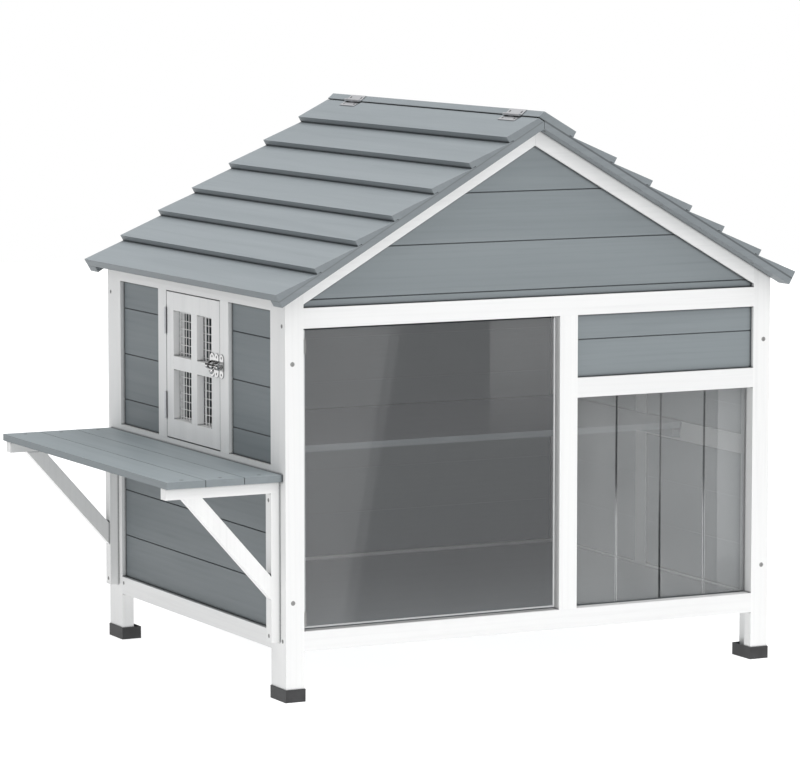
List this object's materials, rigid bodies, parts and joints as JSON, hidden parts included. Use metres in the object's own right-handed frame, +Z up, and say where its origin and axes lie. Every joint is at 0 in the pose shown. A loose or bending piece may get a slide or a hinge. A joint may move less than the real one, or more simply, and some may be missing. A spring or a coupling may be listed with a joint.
{
  "type": "pet house",
  "caption": "Two-storey framed and boarded pet house with a gabled lap-board roof that lifts, a clear front door, a strip-curtain entrance, a barred side window and a bracketed deck.",
  "frame": {"origin": "on the ground under the middle of the whole object's plan rectangle, roof overhangs and side deck included", "axes": "+X to the right along the front, -Y out of the front with the clear door and the curtain, +Z up; the side deck is at -X"},
  "size_m": [1.257, 0.8604, 1.0388],
  "materials": {
    "white_painted_wood": "white satin paint over softwood, faint grain",
    "grey_painted_wood": "blue-grey satin paint over softwood boards",
    "roof_painted_wood": "lighter blue-grey matt paint over softwood boards",
    "zinc_hardware": "zinc-plated steel",
    "chrome_latch": "bright nickel plate",
    "galvanised_wire": "galvanised wire",
    "black_plastic": "moulded black plastic",
    "clear_acrylic": "clear polished acrylic sheet",
    "clear_pvc": "clear flexible PVC"
  },
  "bodies": {
    "house": {"front_left_post": "white_painted_wood", "front_right_post": "white_painted_wood", "front_middle_stile": "white_painted_wood", "front_rails": "white_painted_wood", "front_rake_trims": "white_painted_wood", "front_gable_boards": "grey_painted_wood", "front_entrance_boards": "grey_painted_wood", "back_posts": "white_painted_wood", "back_rails": "white_painted_wood", "back_rake_trims": "white_painted_wood", "back_gable_boards": "grey_painted_wood", "back_wall_boards": "grey_painted_wood", "left_stiles": "white_painted_wood", "left_rails": "white_painted_wood", "left_window_jambs": "white_painted_wood", "left_wall_boards": "grey_painted_wood", "right_stiles": "white_painted_wood", "right_rails": "white_painted_wood", "right_wall_boards": "grey_painted_wood", "floor_boards": "grey_painted_wood", "floor_bearers": "white_painted_wood", "shelf_boards": "grey_painted_wood", "shelf_cleats": "white_painted_wood", "deck_boards": "grey_painted_wood", "deck_bracket_arms": "white_painted_wood", "deck_bracket_uprights": "white_painted_wood", "deck_bracket_braces": "white_painted_wood", "foot_caps": "black_plastic", "right_roof_battens": "roof_painted_wood", "right_roof_lap_boards": "roof_painted_wood", "right_ridge_board": "roof_painted_wood", "roof_hinge_fixed_leaves": "zinc_hardware", "roof_hinge_pins": "zinc_hardware", "window_hinge_jamb_leaves": "zinc_hardware", "window_hinge_pins": "zinc_hardware", "latch_keeper": "chrome_latch", "clear_door_hinge_post_leaves": "zinc_hardware", "clear_door_hinge_pins": "zinc_hardware", "curtain_strip_heads": "clear_pvc", "curtain_clamp_bar": "white_painted_wood", "house_screws": "zinc_hardware"},
    "roof_left": {"left_roof_battens": "roof_painted_wood", "left_roof_lap_boards": "roof_painted_wood", "left_ridge_board": "roof_painted_wood", "roof_hinge_moving_leaves": "zinc_hardware", "roof_panel_screws": "zinc_hardware"},
    "window_door": {"window_door_frame": "white_painted_wood", "window_mesh": "galvanised_wire", "window_screws": "zinc_hardware", "window_hinge_door_leaves": "zinc_hardware", "latch_plate": "chrome_latch"},
    "window_bolt": {"latch_bolt": "chrome_latch"},
    "front_door": {"clear_door": "clear_acrylic", "clear_door_hinge_door_leaves": "zinc_hardware"},
    "strip_1": {"curtain_strip_1": "clear_pvc"},
    "strip_2": {"curtain_strip_2": "clear_pvc"},
    "strip_3": {"curtain_strip_3": "clear_pvc"},
    "strip_4": {"curtain_strip_4": "clear_pvc"}
  },
  "joints": [
    {"name": "roof_open", "type": "hinge", "parent": "house", "child": "roof_left", "pos_m": [0.07913, -0.0002, 1.02924], "axis": [0, 1, 0], "range_deg": [0, 120]},
    {"name": "window_open", "type": "hinge", "parent": "house", "child": "window_door", "pos_m": [-0.40799, 0.1176, 0.55825], "axis": [0, 0, -1], "range_deg": [0, 160]},
    {"name": "bolt_slide", "type": "slide", "parent": "window_door", "child": "window_bolt", "axis": [0, -1, 0], "range_m": [0, 0.011]},
    {"name": "front_door_open", "type": "hinge", "parent": "house", "child": "front_door", "pos_m": [-0.36729, -0.3953, 0.4], "axis": [0, 0, -1], "range_deg": [0, 150]},
    {"name": "strip_1_swing", "type": "hinge", "parent": "house", "child": "strip_1", "pos_m": [0.23311, -0.37305, 0.512], "axis": [1, 0, 0], "range_deg": [-60, 60]},
    {"name": "strip_2_swing", "type": "hinge", "parent": "house", "child": "strip_2", "pos_m": [0.32721, -0.37305, 0.512], "axis": [1, 0, 0], "range_deg": [-60, 60]},
    {"name": "strip_3_swing", "type": "hinge", "parent": "house", "child": "strip_3", "pos_m": [0.42131, -0.37305, 0.512], "axis": [1, 0, 0], "range_deg": [-60, 60]},
    {"name": "strip_4_swing", "type": "hinge", "parent": "house", "child": "strip_4", "pos_m": [0.51541, -0.37305, 0.512], "axis": [1, 0, 0], "range_deg": [-60, 60]}
  ]
}
